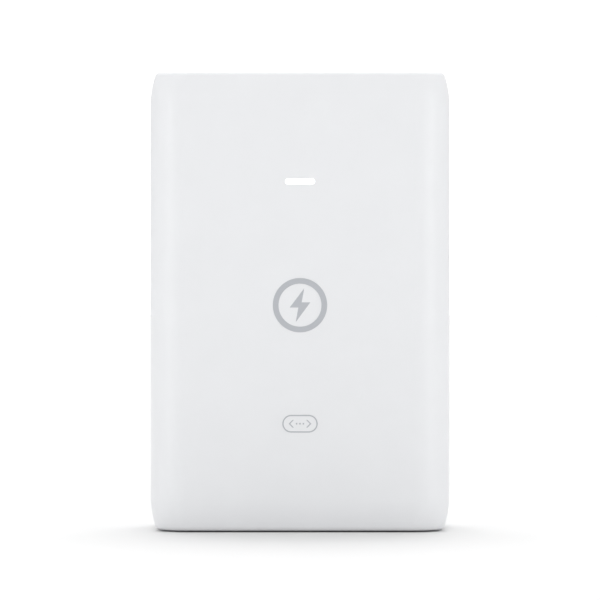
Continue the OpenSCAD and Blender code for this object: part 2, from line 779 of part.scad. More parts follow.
// One insulated lead: off the small board, down behind the front wall, then back into its plug
module indicator_lead(x) {
    z0 = lead_start_z - lead_bend[0];
    z1 = header_at[1] + lead_bend[1];
    translate([x, 0, 0]) {
        rod([0, lead_start_z], lead_r, lead_y + lead_bend[0], indicator_y);
        wire_bend(lead_y + lead_bend[0], z0, lead_bend[0], lead_r, 90, 90);
        translate([0, lead_y, z1]) cylinder(r = lead_r, h = z0 - z1);
        wire_bend(lead_y + lead_bend[1], z1, lead_bend[1], lead_r, 180, 90);
        rod([0, header_at[1]], lead_r, lead_y + lead_bend[1], board_y - plug_size[2] + plug_grip);
    }
}

module indicator_lead_positive() {
    color("firebrick") indicator_lead(lead_x);
}

module indicator_lead_negative() {
    color("dimgray") indicator_lead(-lead_x);
}

module indicator_header() {
    w = header_size[0];
    d = header_size[1];
    color("ivory") {
        on_board(header_at) difference() {
            translate([-w / 2, -d / 2, 0]) cube(header_size);
            translate([header_wall - w / 2, header_wall - d / 2, header_floor])
                cube([w - 2 * header_wall, d - 2 * header_wall, header_size[2]]);
            for (s = [-1, 1])
                translate([s * header_slot[1] - header_slot[0] / 2, -d / 2 - CUT, header_slot[2]])
                    cube([header_slot[0], header_wall + 2 * CUT, header_size[2]]);
        }
        wires(header_leads, header_pin);
    }
}

module indicator_plug() {
    foot = header_floor + bite;
    color("white") on_board(header_at) difference() {
        translate([-plug_size[0] / 2, -plug_size[1] / 2, foot]) cube(plug_size - [0, 0, foot]);
        for (s = [-1, 1]) translate([s * lead_x, 0, 0]) {
            cylinder(r = wire_r + bite, h = header_pin + bite);
            translate([0, 0, plug_size[2] - plug_grip - bite])
                cylinder(r = lead_r + bite, h = plug_grip + CUT);
        }
    }
}

// ---------------------------------------------------------------- board and sheet

module board_outline(inset = 0) {
    translate([0, mid]) polygon(rounded(board_w - 2 * inset, board_h - 2 * inset, board_corner - inset));
}

module main_board() {
    color("darkgreen") plate(board_y, board_back) difference() {
        board_outline();
        for (group = board_holes, p = group[0]) translate(p) circle(r = group[1]);
        translate([transformer_at[0], barrier_z]) square(barrier_slot, center = true);
    }
}

module board_screws() {
    color("silver") for (p = board_screws_at)
        translate([p[0], board_y, p[1]]) rotate([90, 0, 0]) pan_screw(board_screw);
}

module insulation_sheet() {
    color("burlywood") plate(sheet_y, sheet_y + sheet_t) difference() {
        board_outline(sheet_in);
        for (p = concat(case_screws_at, board_screws_at)) translate(p) circle(r = post_r + fit);
    }
}

// ---------------------------------------------------------------- mains inlet and input filter

// The socket's outline: two corners on the earth blade's side are cut off
module inlet_outline() {
    w = inlet_cavity[0] / 2;
    h = inlet_cavity[1] / 2;
    b = inlet_bevel;
    polygon([[-w, h], [w, h], [w, b - h], [w - b, -h], [b - w, -h], [-w, b - h]]);
}

module inlet_housing() {
    color("black") translate([0, inlet_y, 0]) difference() {
        union() {
            translate([0, 0, inlet_z0]) linear_extrude(inlet_len)
                polygon(rounded(inlet_w, inlet_h, inlet_r, 4));
            for (s = [-1, 1])
                rod([s * inlet_peg[1], inlet_z0 + inlet_peg[2]], inlet_peg[0],
                    inlet_h / 2 - 1, inlet_h / 2);
        }
        translate([0, 0, inlet_z1 - inlet_cavity[2]]) linear_extrude(inlet_cavity[2] + CUT) inlet_outline();
        for (p = blade_xy)
            translate([p[0] - blade[0] / 2, p[1] - blade[1] / 2, inlet_z0 - CUT])
                cube([blade[0], blade[1], inlet_len]);
    }
}

// A blade in the socket, and the tail that turns back from it to the board
module inlet_blade(p) {
    z0 = blade_tail_z - blade_tail[1] / 2;
    z1 = inlet_z1 - blade_tip;
    half = blade[1] / 2;
    tip = half - blade_point[0];
    translate([p[0], inlet_y + p[1], 0]) {
        rotate([90, 0, 90]) linear_extrude(blade[0], center = true) polygon([
            [-half, z0], [half, z0], [half, z1 - blade_point[1]], [tip, z1],
            [-tip, z1], [-half, z1 - blade_point[1]]]);
        translate([-blade_tail[0] / 2, 0, z0])
            cube([blade_tail[0], board_back + lead_tail - inlet_y - p[1], blade_tail[1]]);
    }
}

module inlet_blades() {
    color("silver") for (p = blade_xy) inlet_blade(p);
}

module fuse() {
    r = fuse_can[0] / 2;
    color("dimgray") {
        on_board(fuse_at) rotate_extrude() polygon(concat([[0, can_foot], [r, can_foot]],
            arc([r - can_edge, fuse_can[1] - can_edge], can_edge, 0, 90, 4), [[0, fuse_can[1]]]));
        wires(fuse_leads, 1);
    }
}

// A dipped disc that stands on its rim, with its faces looking along the board
module disc_part(at, disc, places) {
    r = disc[0] / 2 - disc_edge;
    on_board(at) rotate([0, 0, 90]) translate([0, disc[1] / 2, disc_lift + disc[0] / 2]) rotate([90, 0, 0])
        rotate_extrude() polygon(concat([[0, 0]], arc([r, disc_edge], disc_edge, -90, 0, 4),
            arc([r, disc[1] - disc_edge], disc_edge, 0, 90, 4), [[0, disc[1]]]));
    wires(places, disc_lift + disc[0] / 3);
}

module varistor() {
    color("royalblue") disc_part(varistor_at, varistor_disc, varistor_leads);
}

module inrush_thermistor() {
    color("black") disc_part(thermistor_at, thermistor_disc, thermistor_leads);
}

module y_capacitor() {
    color("royalblue") disc_part(y_cap_at, y_disc, y_cap_leads);
}

module x_capacitor() {
    color("gold") {
        on_board(x_cap_at) translate([0, 0, can_foot]) linear_extrude(x_box[2] - can_foot)
            polygon(rounded(x_box[0], x_box[1], 0.8, 3));
        wires(x_cap_leads, 1);
    }
}

module choke_base() {
    color("black") {
        on_board(choke_at) {
            translate([-choke_base_size[0] / 2, -choke_base_size[1] / 2, 0]) cube(choke_base_size);
            for (s = [-1, 1]) translate([0, s * choke_mean, 0])
                cylinder(r = 0.7, h = choke_base_size[2] + choke_lift);
        }
        wires(choke_leads, 1);
    }
}

module choke_core() {
    color("dimgray") on_board(choke_at) translate([0, 0, choke_base_size[2] + choke_lift])
        rotate_extrude() translate([choke_ring[1], 0])
            square([choke_ring[0] - choke_ring[1], choke_ring[2]]);
}

module choke_windings() {
    up = choke_base_size[2] + choke_lift + choke_ring[2] / 2;
    color("chocolate") on_board(choke_at)
        for (half = [0, 180], i = [0:choke_turns - 1])
            rotate([0, 0, half + (i - (choke_turns - 1) / 2) * choke_step])
                translate([choke_mean, 0, up]) rotate([90, 0, 0])
                    rotate_extrude() translate([choke_turn[0], 0]) circle(r = choke_turn[1]);
}

module bridge_rectifier() {
    color("dimgray") {
        on_board(bridge_at) difference() {
            translate([-bridge_box[0] / 2, -bridge_box[1] / 2, bridge_lift]) cube(bridge_box);
            translate([bridge_box[0] / 2 - bridge_corner, -bridge_box[1], bridge_lift + bridge_box[2]])
                rotate([0, 45, 0]) cube([2 * bridge_corner, 2 * bridge_box[1], 2 * bridge_corner]);
        }
        wires(bridge_leads, bridge_lift + 0.5);
    }
}

// A capacitor can: rolled groove near its foot, rounded shoulder and a scored top
module can(size) {
    r = size[0] / 2;
    top = size[1];
    difference() {
        rotate_extrude() polygon(concat(
            [[0, can_foot], [r - 0.7, can_foot], [r, can_foot + 0.6], [r, can_groove[0]],
                [r - can_groove[3], can_groove[1]], [r, can_groove[2]]],
            arc([r - can_edge, top - can_edge], can_edge, 0, 90, 4),
            [[r - 1.4, top - can_score[1]], [0, top - can_score[1]]]));
        for (a = [0, 60, 120]) rotate([0, 0, a])
            translate([-r * 0.6, -can_score[0] / 2, top - 2 * can_score[1]])
                cube([r * 1.2, can_score[0], CUT]);
    }
}

module bulk_capacitor() {
    color("midnightblue") {
        on_board(bulk_at) can(bulk_can);
        wires(bulk_leads, 1);
    }
}

module output_capacitors() {
    color("silver") {
        for (at = output_caps_at) on_board(at) can(output_can);
        wires(output_cap_leads, 1);
    }
}

// ---------------------------------------------------------------- converter

// A finned plate that stands on the board beside a power part
module heatsink(at, size, hole_z) {
    step = (size[0] - sink_fin[1]) / (sink_fins - 1);
    color("silver") difference() {
        union() {
            translate([at[0], board_y - size[1], at[1] - size[0] / 2]) {
                cube([sink_t, size[1], size[0]]);
                for (i = [0:sink_fins - 1]) translate([sink_t / 2, 0, i * step])
                    cube([sink_t / 2 + sink_fin[0], size[1], sink_fin[1]]);
            }
            wires(column_of([at[0] + sink_t / 2, at[1]], 2 * size[2], 2), 1, sink_peg_r);
        }
        translate([at[0] - CUT, board_y - power_hole_up, hole_z]) rotate([0, 90, 0])
            cylinder(r = sink_screw[0] + bite, h = sink_t + sink_fin[0] + 2 * CUT);
    }
}

module primary_heatsink() {
    heatsink(primary_sink_at, primary_sink, primary_switch_z);
}

module secondary_heatsink() {
    heatsink(secondary_sink_at, secondary_sink, output_rectifier_z);
}

// A power transistor or diode whose metal tab lies against a heat sink
module power_part(x, z) {
    top = power_lift + power_body[1];
    color("dimgray") translate([x, board_y, z]) {
        difference() {
            union() {
                translate([-power_body[0], -top, -power_w / 2])
                    cube([power_body[0] - tab_t / 2, power_body[1], power_w]);
                translate([-tab_t, -top - tab_h, -power_w / 2])
                    cube([tab_t, power_body[1] + tab_h, power_w]);
            }
            translate([-tab_t - CUT, -power_hole_up, 0]) rotate([0, 90, 0])
                cylinder(r = power_hole_r, h = tab_t + 2 * CUT);
        }
        for (i = [-1:1])
            translate([-power_lead_x - power_lead[0] / 2, -power_lift - 0.5, i * power_lead[2]])
                translate([0, 0, -power_lead[1] / 2])
                    cube([power_lead[0], power_lift + 0.5 + board_t + lead_tail, power_lead[1]]);
    }
}

module primary_switch() {
    power_part(primary_sink_at[0], primary_switch_z);
}

module output_rectifier() {
    power_part(secondary_sink_at[0], output_rectifier_z);
}

module heatsink_screws() {
    places = [[primary_sink_at[0], primary_switch_z], [secondary_sink_at[0], output_rectifier_z]];
    color("silver") for (p = places)
        translate([p[0] - tab_t, board_y - power_hole_up, p[1]]) rotate([0, -90, 0]) pan_screw(sink_screw);
}

// A leaded chip package, from [body, leads on a side, pitch, lead width, reach]
module leaded_chip(chip) {
    body = chip[0];
    lead = [chip[3], chip[4], 0.2];
    translate([-body[0] / 2, -body[1] / 2, 0.1]) cube(body - [0, 0, 0.1]);
    for (s = [0, 180], i = [0:chip[1] - 1]) rotate([0, 0, s])
        translate([(i - (chip[1] - 1) / 2) * chip[2] - lead[0] / 2, body[1] / 2 - 0.1, 0]) {
            cube(lead + [0, 0.1, 0]);
            cube([lead[0], 0.3, body[2] * 0.55]);
        }
}

module pwm_controller() {
    color("dimgray") on_board(pwm_at) leaded_chip(pwm_chip);
}

module poe_controller() {
    color("dimgray") on_board(poe_chip_at) leaded_chip(poe_chip);
}

module lan_magnetics() {
    color("dimgray") for (at = magnetics_at) on_board(at) leaded_chip(magnetics_chip);
}

module optocoupler() {
    lift_z = 0.5;
    pin_up = lift_z + opto_box[2] / 2;
    shoulder_y = opto_box[1] / 2 - 0.2;
    shoulder = [0.7, opto_pins[1] - shoulder_y + 0.2, 0.3];
    color("ivory") {
        on_board(opto_at) {
            translate([-opto_box[0] / 2, -opto_box[1] / 2, lift_z]) cube(opto_box);
            for (sx = [-1, 1], turn = [0, 180]) rotate([0, 0, turn])
                translate([sx * opto_pins[0] - shoulder[0] / 2, shoulder_y, pin_up]) cube(shoulder);
        }
        for (p = opto_leads) box(p, 0.5, 0.4, board_y - pin_up, board_back + lead_tail);
    }
}

// Half of the transformer's core: a back with two outer legs and a centre leg that point to +x
module core_shape() {
    reach = core[0] - core_split;
    color("dimgray") translate([-core[0], -core[1] / 2, core_up - core[2] / 2]) {
        cube([core_back, core[1], core[2]]);
        for (y = [0, core[1] - core_leg]) translate([0, y, 0]) cube([reach, core_leg, core[2]]);
        translate([0, (core[1] - core_centre) / 2, 0]) cube([reach, core_centre, core[2]]);
    }
}

module transformer_core_lower() {
    on_board(transformer_at) rotate([0, 0, 90]) core_shape();
}

module transformer_core_upper() {
    on_board(transformer_at) rotate([0, 0, -90]) core_shape();
}

module transformer_bobbin() {
    outer = tube + 2 * [bobbin_wall, bobbin_wall];
    color("black") {
        on_board(transformer_at) rotate([0, 0, 90]) difference() {
            union() {
                translate([-bobbin[0], -outer[0] / 2, core_up - outer[1] / 2])
                    cube([2 * bobbin[0], outer[0], outer[1]]);
                for (turn = [0, 180]) rotate([0, 0, turn]) {
                    translate([bobbin[0] - bobbin_wall, -bobbin[1] / 2, core_up - bobbin[2] / 2])
                        cube([bobbin_wall, bobbin[1], bobbin[2]]);
                    translate([bobbin[0] - bobbin_wall, -bobbin_rail[1] / 2, 0]) cube(bobbin_rail);
                }
            }
            translate([-2 * bobbin[0], -tube[0] / 2, core_up - tube[1] / 2])
                cube([4 * bobbin[0], tube[0], tube[1]]);
        }
        wires(transformer_leads, 1);
    }
}

module transformer_winding() {
    inside = tube + 2 * [bobbin_wall + tube_gap / 2, bobbin_wall + tube_gap / 2];
    len = 2 * (bobbin[0] - bobbin_wall) - tube_gap;
    color("gold") on_board(transformer_at) rotate([0, 0, 90]) translate([-len / 2, 0, core_up])
        rotate([90, 0, 90]) linear_extrude(len) difference() {
            polygon(rounded(bobbin[1] - winding_in, bobbin[2] - winding_in, winding_r));
            square(inside, center = true);
        }
}

module output_choke_core() {
    r = drum[0] / 2;
    waist = drum[2] / 2;
    color("dimgray") {
        on_board(output_choke_at) rotate_extrude() polygon([
            [0, can_foot], [r, can_foot], [r, drum[3]], [waist, drum[3]], [waist, drum[1] - drum[3]],
            [r, drum[1] - drum[3]], [r, drum[1]], [0, drum[1]]]);
        wires(drum_leads, 1);
    }
}

module output_choke_winding() {
    waist = drum[2] / 2 + bite;
    height = drum[1] - 2 * drum[3] - 2 * bite;
    groove_x = drum[0] / 2 - 0.4;
    color("chocolate") on_board(output_choke_at) translate([0, 0, drum[3] + bite]) rotate_extrude()
        difference() {
            translate([waist, 0]) square([groove_x - waist, height]);
            for (i = [1:drum_turns - 1]) translate([groove_x, i * height / drum_turns]) circle(r = 0.2);
        }
}

module chip_rows(rows, size) {
    for (row = rows, i = [0:row[2] - 1]) on_board([row[0] + i * row[3], row[1] + i * row[4]])
        translate([-size[0] / 2, -size[1] / 2, 0]) cube(size);
}

module chip_resistors() {
    color("dimgray") chip_rows(resistor_rows, chip_resistor);
}

module chip_capacitors() {
    color("tan") chip_rows(capacitor_rows, chip_capacitor);
}

// ---------------------------------------------------------------- network jacks

// The plug's way in, drawn in x and y: main opening, latch step and latch
module plug_outline(grow = 0) {
    lap = 0.5;
    translate([-cavity_w / 2 - grow, cavity_y - grow]) square([cavity_w, cavity_h] + 2 * [grow, grow]);
    translate([-key_w / 2 - grow, cavity_y + cavity_h - lap]) square([key_w + 2 * grow, key_d + lap + grow]);
    translate([-latch_w / 2 - grow, cavity_y + cavity_h + key_d - lap])
        square([latch_w + 2 * grow, latch_d + lap + grow]);
}

module jack_shield(x) {
    t = shield_t;
    tail_y = board_back + lead_tail;
    color("silver") translate([x, 0, 0]) difference() {
        union() {
            translate([-jack_w / 2, jack_y, jack_inset]) cube([jack_w, jack_h - stand_off, jack_len]);
            for (s = [-1, 1]) {
                translate([s * (jack_w - t) / 2 - t / 2, board_y - 1, jack_inset + shield_tab[1]])
                    cube([t, tail_y - board_y + 1, shield_tab[0]]);
                translate([s * shield_spring_x - shield_spring[0] / 2, jack_y, jack_inset + 2.2])
                    translate([0, -shield_spring[2], 0])
                        cube([shield_spring[0], 2 * shield_spring[2], shield_spring[1]]);
            }
        }
        translate([t - jack_w / 2, jack_y + t, jack_inset + t])
            cube([jack_w - 2 * t, jack_h, jack_len - 2 * t]);
        translate([t - jack_w / 2, board_y - 1.4, jack_top - 4]) cube([jack_w - 2 * t, 3, 5]);
        translate([0, 0, jack_inset - CUT]) linear_extrude(2 * CUT) plug_outline(0.15);
    }
}

module jack_housing(x) {
    w = jack_w - 2 * shield_t - 2 * bite;
    y0 = jack_y + shield_t + bite;
    slot_y = contact_run_y - contact_r - bite;
    slot_z = contact_bend_z - 2 * contact_bend_r - contact_r;
    color("black") translate([x, 0, 0]) difference() {
        union() {
            translate([-w / 2, y0, housing_z]) cube([w, board_y - y0 - stand_off, housing_len]);
            for (s = [-1, 1])
                rod([s * housing_peg[1], jack_inset + housing_peg[2]], housing_peg[0],
                    board_y - 1, board_y);
        }
        translate([0, 0, housing_z - CUT]) linear_extrude(cavity_depth + CUT) plug_outline();
        for (i = [0:contact_n - 1])
            translate([contact_x(i) - contact_slot / 2, slot_y, slot_z])
                cube([contact_slot, cavity_y - slot_y + 0.5, housing_len + 2]);
    }
}

// The fixed part of each contact: soldered tail, run along its slot, and turn-back near the mouth
module jack_contacts(x) {
    color("gold") for (i = [0:contact_n - 1]) translate([x + contact_x(i), 0, 0]) {
        z1 = contact_rows[i % 2];
        rod([0, z1], contact_r, contact_run_y, board_back + lead_tail);
        translate([0, contact_run_y, z1]) sphere(r = contact_r);
        translate([0, contact_run_y, contact_bend_z]) cylinder(r = contact_r, h = z1 - contact_bend_z);
        wire_bend(contact_run_y + contact_bend_r, contact_bend_z, contact_bend_r, contact_r, 180, 180);
    }
}

// The free part of each contact, which the plug presses towards the front wall
module jack_springs(x) {
    color("gold") for (i = [0:contact_n - 1])
        translate([x + contact_x(i), spring_y, spring_z]) rotate([-contact_angle, 0, 0]) {
            sphere(r = contact_r);
            cylinder(r = contact_r, h = spring_len);
            translate([0, 0, spring_len]) sphere(r = contact_r);
        }
}

front_cover();
rear_cover();
case_screws();
light_pipe();
front_print();
port_print();
rating_label();
wall_bracket();
main_board();
board_screws();
insulation_sheet();
inlet_housing();
inlet_blades();
fuse();
varistor();
inrush_thermistor();
x_capacitor();
choke_base();
choke_core();
choke_windings();
bridge_rectifier();
bulk_capacitor();
primary_heatsink();
primary_switch();
pwm_controller();
transformer_core_upper();
transformer_core_lower();
transformer_bobbin();
transformer_winding();
y_capacitor();
optocoupler();
secondary_heatsink();
output_rectifier();
heatsink_screws();
output_capacitors();
output_choke_core();
output_choke_winding();
poe_controller();
lan_magnetics();
indicator_board();
status_led();
indicator_header();
indicator_plug();
indicator_lead_positive();
indicator_lead_negative();
jack_shield(jack_xs[0]);  // poe_jack_shield
jack_housing(jack_xs[0]);  // poe_jack_housing
jack_contacts(jack_xs[0]);  // poe_jack_contacts
jack_springs(jack_xs[0]);  // poe_jack_springs
jack_shield(jack_xs[1]);  // lan_jack_shield
jack_housing(jack_xs[1]);  // lan_jack_housing
jack_contacts(jack_xs[1]);  // lan_jack_contacts
jack_springs(jack_xs[1]);  // lan_jack_springs
chip_resistors();
chip_capacitors();
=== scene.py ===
"""Looks of an upright power injector: materials, softened edges, lights, floor and camera."""
import math

import bpy
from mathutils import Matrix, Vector


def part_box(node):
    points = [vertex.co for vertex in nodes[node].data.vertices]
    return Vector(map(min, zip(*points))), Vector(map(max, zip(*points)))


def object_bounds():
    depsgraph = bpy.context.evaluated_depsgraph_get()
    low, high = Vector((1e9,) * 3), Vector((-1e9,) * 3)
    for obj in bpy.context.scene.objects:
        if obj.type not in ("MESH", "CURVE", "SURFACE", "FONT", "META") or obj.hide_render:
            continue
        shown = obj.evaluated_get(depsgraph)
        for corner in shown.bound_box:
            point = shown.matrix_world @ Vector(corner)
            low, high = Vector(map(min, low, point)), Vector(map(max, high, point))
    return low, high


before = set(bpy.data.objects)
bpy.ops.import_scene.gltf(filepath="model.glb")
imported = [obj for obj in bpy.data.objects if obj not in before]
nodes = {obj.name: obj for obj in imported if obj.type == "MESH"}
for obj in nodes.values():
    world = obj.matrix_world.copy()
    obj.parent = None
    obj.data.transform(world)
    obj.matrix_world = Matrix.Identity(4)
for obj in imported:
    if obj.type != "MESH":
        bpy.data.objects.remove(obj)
cad_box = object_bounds()

MM = 0.001
MICRON = 1e-6
MAP_SOCKETS = ("From Min", "From Max", "To Min", "To Max")


# ---------------------------------------------------------------- nodes of a material

class Finish:
    """A material on one Principled shader, with short calls for the patterns that drive it."""

    def __init__(self, name, colour, roughness, metallic=0.0):
        self.material = bpy.data.materials.new("finish_" + name)
        self.material.use_nodes = True
        self.tree = self.material.node_tree
        self.shader = self.tree.nodes["Principled BSDF"]
        self.place = self.add("ShaderNodeTexCoord").outputs["Object"]
        self.normal = None
        self.set("Base Color", (*colour, 1.0))
        self.set("Roughness", roughness)
        self.set("Metallic", metallic)

    def add(self, kind, **settings):
        node = self.tree.nodes.new(kind)
        for key, value in settings.items():
            setattr(node, key, value)
        return node

    def link(self, source, target):
        self.tree.links.new(source, target)

    def set(self, socket, value):
        self.shader.inputs[socket].default_value = value

    def stretched(self, scale):
        """The piece's own coordinates, multiplied axis by axis."""
        mapping = self.add("ShaderNodeMapping")
        mapping.inputs["Scale"].default_value = scale
        self.link(self.place, mapping.inputs["Vector"])
        return mapping.outputs["Vector"]

    def noise(self, size, detail=2.0, stretch=None):
        """Noise with features of about that size, in metres; stretch draws it out along an axis."""
        texture = self.add("ShaderNodeTexNoise")
        texture.inputs["Scale"].default_value = 1.0 / size
        texture.inputs["Detail"].default_value = detail
        self.link(self.stretched(stretch) if stretch else self.place, texture.inputs["Vector"])
        return texture.outputs["Fac"]

    def cells(self, size):
        """Distance from the middle of the nearest cell, with cells of about that size."""
        texture = self.add("ShaderNodeTexVoronoi", feature="F1")
        texture.inputs["Scale"].default_value = 1.0 / size
        self.link(self.place, texture.inputs["Vector"])
        return texture.outputs["Distance"]

    def bands(self, size, axis, distortion=0.0):
        """Even ripples along an axis, a crest every size metres."""
        texture = self.add("ShaderNodeTexWave", wave_type="BANDS", bands_direction=axis)
        texture.inputs["Scale"].default_value = math.pi / (10.0 * size)
        texture.inputs["Distortion"].default_value = distortion
        self.link(self.place, texture.inputs["Vector"])
        return texture.outputs["Fac"]

    def remap(self, value, low, high, start=0.3, end=0.7):
        node = self.add("ShaderNodeMapRange")
        for socket, number in zip(MAP_SOCKETS, (start, end, low, high)):
            node.inputs[socket].default_value = number
        self.link(value, node.inputs["Value"])
        return node.outputs["Result"]

    def math(self, operation, a, b):
        node = self.add("ShaderNodeMath", operation=operation)
        for socket, value in zip(node.inputs, (a, b)):
            if isinstance(value, (int, float)):
                socket.default_value = value
            else:
                self.link(value, socket)
        return node.outputs["Value"]

    def mix(self, factor, a, b):
        """Colour a where the factor is 0 and colour b where it is 1; either may be a socket."""
        node = self.add("ShaderNodeMix", data_type="RGBA")
        self.link(factor, node.inputs["Factor"])
        for socket, value in ((node.inputs[6], a), (node.inputs[7], b)):
            if isinstance(value, tuple):
                socket.default_value = (*value, 1.0)
            else:
                self.link(value, socket)
        return node.outputs[2]

    def colour(self, source):
        """Base colour straight from a socket."""
        self.link(source, self.shader.inputs["Base Color"])

    def mottle(self, factor, a, b, start=0.3, end=0.7):
        """Base colour that drifts between two tones."""
        self.colour(self.mix(self.remap(factor, 0.0, 1.0, start, end), a, b))

    def rough(self, factor, low, high):
        """Roughness that follows a pattern."""
        self.link(self.remap(factor, low, high), self.shader.inputs["Roughness"])

    def bump(self, height, depth):
        """Relief of a height pattern, with its whole depth in metres; calls add up."""
        node = self.add("ShaderNodeBump")
        node.inputs["Distance"].default_value = depth
        self.link(height, node.inputs["Height"])
        if self.normal:
            self.link(self.normal, node.inputs["Normal"])
        self.normal = node.outputs["Normal"]
        self.link(self.normal, self.shader.inputs["Normal"])


def shade(colour, factor):
    return tuple(channel * factor for channel in colour)


# ---------------------------------------------------------------- plastics

def moulded(name, colour, roughness, grain=0.35 * MM, depth=8 * MICRON, drift=0.03, coat=0.0):
    """Spark-eroded moulded plastic: fine grain, a faint drift of tone and slightly uneven gloss."""
    finish = Finish(name, colour, roughness)
    cloud = finish.noise(9 * MM, 3.0)
    finish.mottle(cloud, shade(colour, 1.0 - drift), colour)
    finish.rough(finish.noise(2.5 * MM, 3.0), roughness - 0.04, roughness + 0.05)
    finish.bump(finish.noise(grain, 4.0), depth)
    finish.bump(finish.noise(14 * MM, 1.0), 12 * MICRON)
    finish.set("IOR", 1.49)
    if coat:
        finish.set("Coat Weight", coat)
        finish.set("Coat Roughness", 0.12)
    return finish


def case_plastic():
    return moulded(
        "case_plastic", CASE_COLOUR, 0.40, grain=0.30 * MM, depth=5 * MICRON, drift=0.012)


def lens_plastic():
    """Milky window, lit from behind and a little brighter at its middle, where the diode sits."""
    finish = moulded("lens_plastic", (0.86, 0.87, 0.88), 0.22, grain=0.5 * MM, depth=2 * MICRON)
    low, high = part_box("light_pipe")
    centre = (low + high) / 2
    distance = finish.add("ShaderNodeVectorMath", operation="DISTANCE")
    distance.inputs[1].default_value = centre
    finish.link(finish.place, distance.inputs[0])
    fade = finish.remap(distance.outputs["Value"], 1.0, 0.0, 0.0, 4.5 * MM)
    glow = finish.mix(fade, (0.90, 0.94, 1.0), (1.0, 1.0, 1.0))
    finish.link(glow, finish.shader.inputs["Emission Color"])
    finish.link(finish.remap(fade, 0.85, 1.6, 0.0, 1.0), finish.shader.inputs["Emission Strength"])
    return finish


def black_nylon():
    """Glass-filled nylon: dull black with fine fibres lying along the flow."""
    finish = Finish("black_nylon", (0.018, 0.018, 0.020), 0.5)
    fibres = finish.noise(0.25 * MM, 3.0, stretch=(1.0, 1.0, 0.25))
    finish.mottle(fibres, (0.014, 0.014, 0.016), (0.026, 0.026, 0.028))
    finish.rough(finish.noise(1.2 * MM, 3.0), 0.42, 0.56)
    finish.bump(fibres, 9 * MICRON)
    finish.set("IOR", 1.53)
    return finish


def fuse_plastic():
    return moulded("fuse_plastic", (0.035, 0.034, 0.036), 0.36, depth=3 * MICRON, coat=0.1)


def white_moulding():
    return moulded("white_moulding", (0.74, 0.74, 0.71), 0.45, depth=6 * MICRON)


def ivory_moulding():
    return moulded("ivory_moulding", (0.76, 0.71, 0.58), 0.42, depth=6 * MICRON)


def yellow_box():
    """Filled box of a film capacitor, under a thin clear coat."""
    finish = moulded("yellow_box", (0.80, 0.56, 0.10), 0.38, grain=0.5 * MM, depth=5 * MICRON)
    finish.set("Coat Weight", 0.15)
    finish.set("Coat Roughness", 0.25)
    return finish


def epoxy(name, colour):
    """Dipped coating: glossy, with the orange-peel ripple of a coat that set as it dripped."""
    finish = Finish(name, colour, 0.28)
    ripple = finish.noise(1.6 * MM, 2.0)
    finish.mottle(ripple, shade(colour, 0.82), colour)
    finish.rough(finish.noise(0.8 * MM, 3.0), 0.20, 0.36)
    finish.bump(ripple, 60 * MICRON)
    finish.set("Coat Weight", 0.6)
    finish.set("Coat Roughness", 0.08)
    return finish


def blue_epoxy():
    return epoxy("blue_epoxy", (0.05, 0.16, 0.44))


def dark_epoxy():
    return epoxy("dark_epoxy", (0.03, 0.035, 0.03))


def black_epoxy():
    """Transfer-moulded chip package: matt, gritty and slightly grey."""
    finish = Finish("black_epoxy", (0.030, 0.030, 0.032), 0.62)
    grit = finish.noise(0.12 * MM, 3.0)
    finish.mottle(grit, (0.022, 0.022, 0.024), (0.045, 0.045, 0.047))
    finish.rough(finish.noise(0.9 * MM, 2.0), 0.52, 0.72)
    finish.bump(grit, 8 * MICRON)
    return finish


def led_resin():
    """Yellow phosphor resin in a white cup."""
    finish = Finish("led_resin", (0.86, 0.76, 0.34), 0.3)
    grains = finish.cells(0.12 * MM)
    finish.mottle(grains, (0.90, 0.84, 0.50), (0.84, 0.70, 0.24), 0.0, 1.0)
    finish.bump(grains, 5 * MICRON)
    finish.set("Emission Color", (1.0, 0.97, 0.9, 1.0))
    finish.set("Emission Strength", 1.0)
    return finish


def insulation(name, colour):
    """Extruded wire insulation: smooth along the lead, with a faint drawn streak."""
    finish = Finish(name, colour, 0.35)
    streak = finish.noise(0.3 * MM, 2.0, stretch=(1.0, 1.0, 0.08))
    finish.mottle(streak, shade(colour, 0.85), colour)
    finish.rough(streak, 0.30, 0.42)
    finish.bump(streak, 4 * MICRON)
    return finish


def red_insulation():
    return insulation("red_insulation", (0.52, 0.03, 0.02))


def black_insulation():
    return insulation("black_insulation", (0.02, 0.02, 0.022))


# ---------------------------------------------------------------- films, inks and boards

def grey_ink():
    """Pad-printed ink: a thin even coat with a faint screen of pinholes."""
    finish = Finish("grey_ink", INK_COLOUR, 0.5)
    speckle = finish.noise(0.10 * MM, 2.0)
    finish.mottle(speckle, shade(INK_COLOUR, 0.965), shade(INK_COLOUR, 1.02))
    finish.rough(speckle, 0.46, 0.56)
    finish.bump(speckle, 3 * MICRON)
    return finish


def label_film():
    """Matt silver polyester label with a thin printed border and a blank field."""
    finish = Finish("label_film", (0.66, 0.67, 0.68), 0.42, 0.25)
    low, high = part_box("rating_label")
    centre = (low + high) / 2
    half = (high - low) / 2
    place = finish.add("ShaderNodeSeparateXYZ")
    finish.link(finish.place, place.inputs["Vector"])
    inset = []
    for axis, socket in ((0, "X"), (2, "Z")):
        offset = finish.math("SUBTRACT", place.outputs[socket], centre[axis])
        inset.append(finish.math("SUBTRACT", half[axis], finish.math("ABSOLUTE", offset, 0.0)))
    edge = finish.math("MINIMUM", inset[0], inset[1])
    line = finish.math("COMPARE", edge, 1.0 * MM)
    line.node.inputs[2].default_value = 0.12 * MM
    brushed = finish.noise(0.12 * MM, 2.0, stretch=(0.05, 1.0, 1.0))
    film = finish.mix(brushed, (0.60, 0.61, 0.62), (0.74, 0.75, 0.76))
    finish.colour(finish.mix(line, film, (0.16, 0.17, 0.18)))
    finish.rough(brushed, 0.34, 0.50)
    finish.bump(brushed, 2 * MICRON)
    return finish


